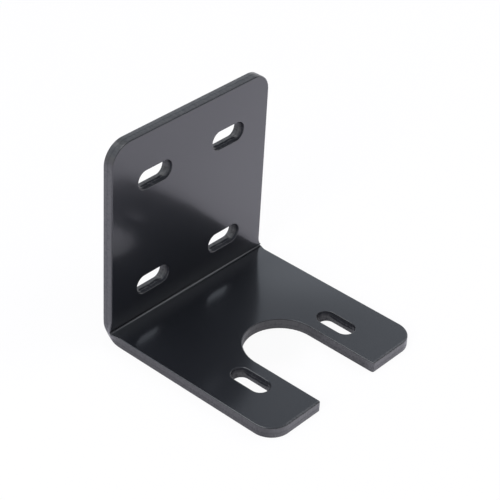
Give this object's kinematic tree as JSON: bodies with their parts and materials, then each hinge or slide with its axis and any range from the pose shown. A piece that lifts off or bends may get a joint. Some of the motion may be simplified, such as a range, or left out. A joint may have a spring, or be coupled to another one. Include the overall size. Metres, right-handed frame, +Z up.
{
  "type": "motor mounting bracket",
  "caption": "Right-angled bracket folded from thick plate, with sideways slots in the wall flange, and slots and an open round-ended notch in the foot that carries a motor.",
  "frame": {"origin": "middle of the outline seen from above, on the plane of the foot's underside", "axes": "+X along the fold, +Y from the foot's open end into the wall that the back face bolts to, +Z up the wall flange"},
  "size_m": [0.1148, 0.115, 0.1152],
  "materials": {
    "black_coat": "satin black coat"
  },
  "bodies": {
    "root": {"bracket": "black_coat"}
  },
  "joints": []
}
